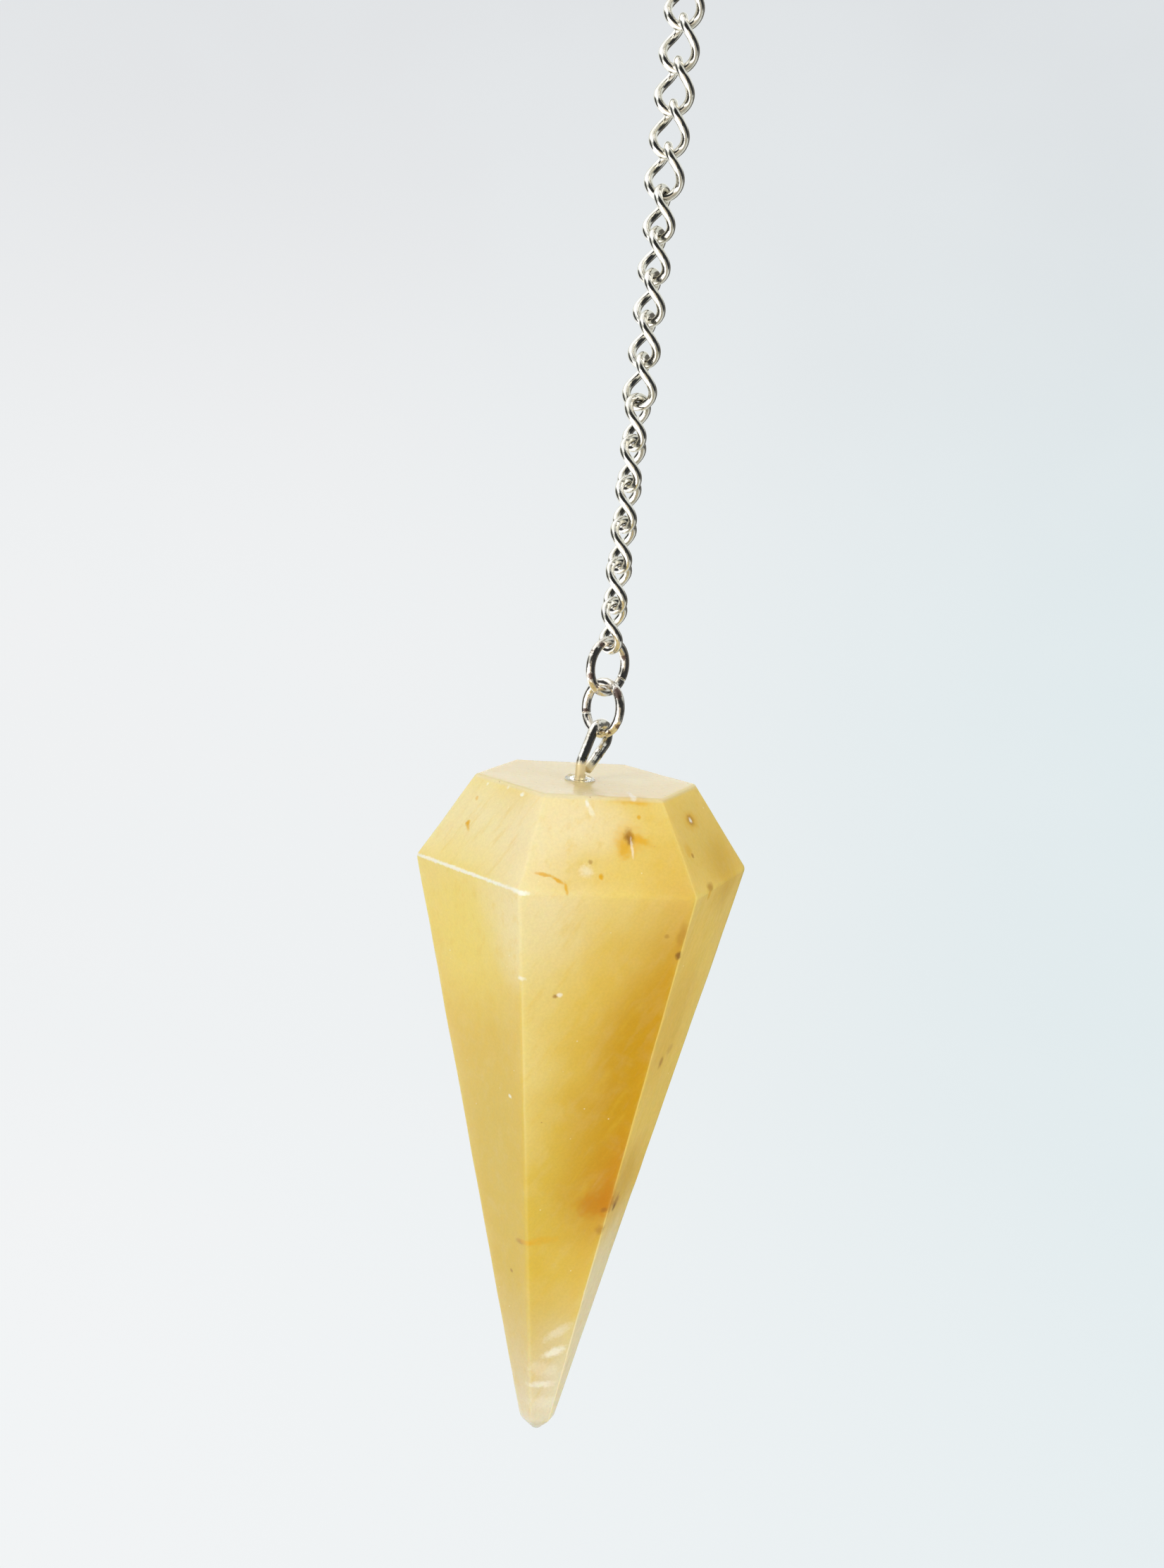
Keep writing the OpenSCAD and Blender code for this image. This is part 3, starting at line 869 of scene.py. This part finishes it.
def eye_pin(place, material):
    """Bent wire with an open eye, worn at two heights, with a painted reflection of the cream
    stone low down.
    """
    along, flat = heading(EYE_TURN), heading(EYE_TURN).cross(UP)
    foot = stem_foot()
    turn = place.to_3x3()
    origin = place.translation / MM
    path = eye_path()
    points = [origin + turn @ (foot + along * p.x + UP * p.y) for p in path]
    side = turn @ flat
    stations = []
    for i, point in enumerate(points):
        run = (points[min(i + 1, len(points) - 1)] - points[max(i - 1, 0)]).normalized()
        stations.append((point, side, side.cross(run)))

    def radius(i, angle):
        spot = points[i] * 2.5 + Vector((math.cos(angle), math.sin(angle), 0)) * 0.6
        return cut_end(i, len(points)) * EYE_WIRE / 2 * (1 + PIN_UNEVEN * noise.noise(spot))

    verts, faces = tube(stations, radius, False)
    wear, film = [], []
    for i, p in enumerate(path):
        marks = sum(share * smooth(1 - abs(p.y - height) / reach)
                    for height, reach, share in PIN_WEAR)
        wear += [marks * max(0, noise.noise(verts[i * WIRE_SIDES + k] * 3) + 0.45)
                 for k in range(WIRE_SIDES)]
        # Painted reflection of the cream stone, on the stem and its bend low down
        low, near = smooth((PAINTED_REFLECTION_HEIGHT - p.y) / 0.35), smooth((PAINTED_REFLECTION_HEIGHT - p.x) / 0.5)
        film += [PAINTED_REFLECTION_SHARE * low * near] * WIRE_SIDES
    finish_mesh("eye_wire", verts, faces, material, "drop", "eye_pin", "pin_metal",
                wear=wear, film=film)


def glue_bead(place, material):
    """Lumpy bead of clear glue: rings out from the stem, lower towards an uneven
    rim, and a last ring at the stem's foot that closes it below."""
    foot = stem_foot()
    origin, turn = place.translation / MM, place.to_3x3()
    inner = EYE_WIRE / 2 - GLUE_INTO_STEM
    ways = [heading(360 * k / GLUE_TURNS) for k in range(GLUE_TURNS)]
    verts = []
    for j in range(GLUE_ROWS):
        share = j / (GLUE_ROWS - 1)
        dome = math.sqrt(max(0, 1 - share ** 1.6))
        for way in ways:
            lump = noise.noise(way * 1.3 + Vector((4, 1, 7)))
            reach = inner + (GLUE_WIDTH / 2 - inner) * (1 + GLUE_LUMPS * lump) * share
            ripple = 1 + GLUE_RIPPLE * noise.noise(way * reach * 2.2 + Vector((1, 9, 2)))
            height = GLUE_RIM + GLUE_HEIGHT * dome * ripple
            verts.append(origin + turn @ (foot + way * reach + UP * height))
    verts += [origin + turn @ (foot + way * inner + UP * GLUE_FOOT) for way in ways]
    faces = []
    loops = list(range(GLUE_ROWS + 1))
    for here, there in zip(loops, loops[1:] + loops[:1]):
        for k in range(GLUE_TURNS):
            after = (k + 1) % GLUE_TURNS
            faces.append((here * GLUE_TURNS + k, there * GLUE_TURNS + k,
                          there * GLUE_TURNS + after, here * GLUE_TURNS + after))
    finish_mesh("glue", verts, faces, material, "drop", "glue_bead", "clear_glue")


def paper_material():
    """Pale paper that glows as a lit backdrop does, with its light and shade painted in: pale
    blue and dimmer to the right, greyer towards the top.
    """
    s = Shader("pale_paper")
    spread = s.node("SeparateXYZ", {0: s.place}).outputs
    colour = s.mix(s.ramp(spread[0], -200, 420), tone(238, 239, 240), tone(218, 230, 233))
    # Painted shade: greyer towards the top
    colour = s.mix(s.ramp(spread[2], -150, 320, 0, 0.8), colour, tone(216, 218, 221))
    mottle = s.noise(0.004, 3, 0.5)
    colour = s.mix(s.ramp(mottle, 0.35, 0.7, 0, 0.25), colour, tone(232, 238, 240))
    s.material.cycles.emission_sampling = "NONE"
    return s.set(Base_Color=tone(90, 92, 93), Roughness=0.9, Emission_Color=colour,
                 Emission_Strength=0.92, Normal=s.bump(s.noise(0.4, 3, 0.6), 0.05, 0.5))


def floor_cove(material):
    """Pale floor that rises in one cove all round."""
    profile = [(FLOOR_REACH / 2, -FLOOR_DROP)]
    for i in range(COVE_STEPS + 1):
        angle = math.radians(90 * i / COVE_STEPS)
        profile.append((FLOOR_REACH + COVE_ROUND * math.sin(angle),
                        COVE_ROUND * (1 - math.cos(angle)) - FLOOR_DROP))
    profile.append((FLOOR_REACH + COVE_ROUND, COVE_HEIGHT))
    verts = [Vector((0, 0, -FLOOR_DROP)) * MM]
    for out, height in profile:
        verts += [(heading(360 * k / COVE_TURNS) * out + UP * height) * MM
                  for k in range(COVE_TURNS)]
    faces = [(0, 1 + k, 1 + (k + 1) % COVE_TURNS) for k in range(COVE_TURNS)]
    for row in range(len(profile) - 1):
        here, there = 1 + row * COVE_TURNS, 1 + (row + 1) * COVE_TURNS
        for k in range(COVE_TURNS):
            after = (k + 1) % COVE_TURNS
            faces.append((here + k, there + k, there + after, here + after))
    mesh = bpy.data.meshes.new("floor_cove")
    mesh.from_pydata(verts, [], faces)
    mesh.polygons.foreach_set("use_smooth", [True] * len(mesh.polygons))
    mesh.materials.append(material)
    cove = bpy.data.objects.new("floor_cove", mesh)
    bpy.context.scene.collection.objects.link(cove)
    cove.visible_glossy = False
    cove.visible_diffuse = False
    cove.visible_shadow = False


# Soft lights: name, place, aim, size in millimetres, power in watts, colour
LIGHTS = [
    ("key", (-420, -400, 120), (0, 0, -75), 300, 1.4, (1.0, 0.98, 0.93)),
    ("fill", (460, -380, 20), (0, 0, -75), 360, 1.3, (1.0, 0.98, 0.92)),
    ("back", (-160, 460, 200), (0, 0, -70), 380, 0.6, (1.0, 1.0, 1.0)),
]


def lights():
    """Round soft lamps, which neither the camera nor a reflection sees."""
    for name, place, aim, size, power, colour in LIGHTS:
        data = bpy.data.lights.new(name, "AREA")
        data.shape = "DISK"
        data.size = size * MM
        data.energy = power
        data.color = colour
        lamp = bpy.data.objects.new(name, data)
        lamp.location = Vector(place) * MM
        way = Vector(aim) - Vector(place)
        lamp.rotation_euler = way.to_track_quat("-Z", "Y").to_euler()
        lamp.visible_camera = False
        lamp.visible_glossy = False
        bpy.context.scene.collection.objects.link(lamp)


# The room as polished things show it: direction, half its angle where it
# starts and ends, colour and brightness. Later rows lie over earlier ones.
ROOM = [
    ((0.05, 1.00, 0.15), 26, 14, (1.0, 1.0, 0.98), 1.15),
    ((0.72, 0.68, -0.15), 36, 24, (1.0, 0.95, 0.85), 0.12),
    ((0.00, -0.40, -0.90), 50, 30, (1.0, 0.93, 0.75), 0.40),
    ((0.10, -0.93, 0.30), 54, 40, (0.9, 0.95, 1.0), 0.02),
    ((0.90, -0.40, 0.00), 44, 32, (0.9, 0.95, 1.0), 0.03),
    ((-0.05, 0.10, 1.00), 32, 20, (1.0, 1.0, 1.0), 1.0),
    ((-0.62, -0.30, 0.72), 24, 14, (1.0, 1.0, 1.0), 1.3),
    ((-0.70, 0.25, 0.70), 26, 16, (1.0, 1.0, 1.0), 1.6),
    ((-0.60, -0.56, -0.57), 46, 34, (1.0, 0.99, 0.97), 2.1),
    ((-0.60, 0.35, -0.72), 34, 24, (1.0, 1.0, 1.0), 1.3),
    ((-0.97, 0.20, -0.02), 30, 20, (0.9, 0.92, 1.0), 0.04),
    ((-0.03, -0.98, -0.20), 24, 12, (1.0, 0.90, 0.72), 0.70),
]
ROOM_WALLS = (0.72, 0.74, 0.70, 1)
SOFT_LIGHT = (0.62, 0.62, 0.62, 1)


def room():
    """World light: soft and even, but for reflections the walls and the room's
    bright and dark parts, each a round lobe about its direction."""
    world = bpy.data.worlds.new("studio_room")
    bpy.context.scene.world = world
    world.use_nodes = True
    tree = world.node_tree
    nodes, links = tree.nodes, tree.links
    way = nodes.new("ShaderNodeTexCoord").outputs["Generated"]

    def mix(amount, first, second):
        made = nodes.new("ShaderNodeMix")
        made.data_type = "RGBA"
        links.new(amount, made.inputs[0])
        for socket, value in ((made.inputs[6], first), (made.inputs[7], second)):
            if isinstance(value, bpy.types.NodeSocket):
                links.new(value, socket)
            else:
                socket.default_value = value
        return made.outputs[2]

    colour = ROOM_WALLS
    for direction, outer, inner, tint, level in ROOM:
        dot = nodes.new("ShaderNodeVectorMath")
        dot.operation = "DOT_PRODUCT"
        links.new(way, dot.inputs[0])
        dot.inputs[1].default_value = Vector(direction).normalized()
        lobe = nodes.new("ShaderNodeMapRange")
        lobe.interpolation_type = "SMOOTHSTEP"
        links.new(dot.outputs["Value"], lobe.inputs["Value"])
        lobe.inputs["From Min"].default_value = math.cos(math.radians(outer))
        lobe.inputs["From Max"].default_value = math.cos(math.radians(inner))
        shade = tuple(level * value for value in tint) + (1,)
        colour = mix(lobe.outputs["Result"], colour, shade)
    mirrored = nodes.new("ShaderNodeLightPath").outputs["Is Glossy Ray"]
    links.new(mix(mirrored, SOFT_LIGHT, colour), nodes["Background"].inputs["Color"])


def camera():
    """The photograph's view."""
    data = bpy.data.cameras.new("photo_view")
    data.sensor_width = CAMERA_SENSOR
    data.lens = CAMERA_LENS
    data.clip_start = 1 * MM
    seen = bpy.data.objects.new("photo_view", data)
    aim = Euler((math.radians(90 - CAMERA_DOWN), 0, 0)).to_matrix().to_4x4()
    seen.matrix_world = (Matrix.Translation(CAMERA_PLACE * MM) @ aim
                         @ Matrix.Rotation(math.radians(CAMERA_ROLL), 4, "Z"))
    bpy.context.scene.collection.objects.link(seen)
    bpy.context.scene.camera = seen


bpy.context.scene.view_settings.view_transform = "Standard"
camera()
chain_metal = metal_material("chain_plate", bright=tone(250, 248, 243), warm=tone(226, 222, 208),
                             grime=tone(70, 56, 42), dents=0.12, haze=0.1)
ring_metal = metal_material("ring_plate", bright=tone(248, 245, 240), warm=tone(226, 218, 206),
                            grime=tone(84, 46, 34), dents=0.26, haze=0.15)
pin_metal = metal_material("pin_plate", bright=tone(248, 246, 241), warm=tone(228, 222, 208),
                           grime=tone(60, 58, 50), dents=0.26, haze=0.15)
for number, link_turn in enumerate(LINK_TURNS):
    curb_link(number, link_turn, chain_metal)
end_ring(ring_metal)
jump_ring("jump_ring_upper", "upper_ring", "chain", UPPER_TURN, UPPER_SEAM,
          UPPER_MARKS, ring_metal)
jump_ring("jump_ring_lower", "lower_ring", "lower_ring", LOWER_TURN, LOWER_SEAM,
          LOWER_MARKS, ring_metal)
stone_place = stone_frame()
stone(stone_place, stone_material(stone_place))
eye_pin(stone_place, pin_metal)
glue_bead(stone_place, glue_material())
floor_cove(paper_material())
lights()
room()
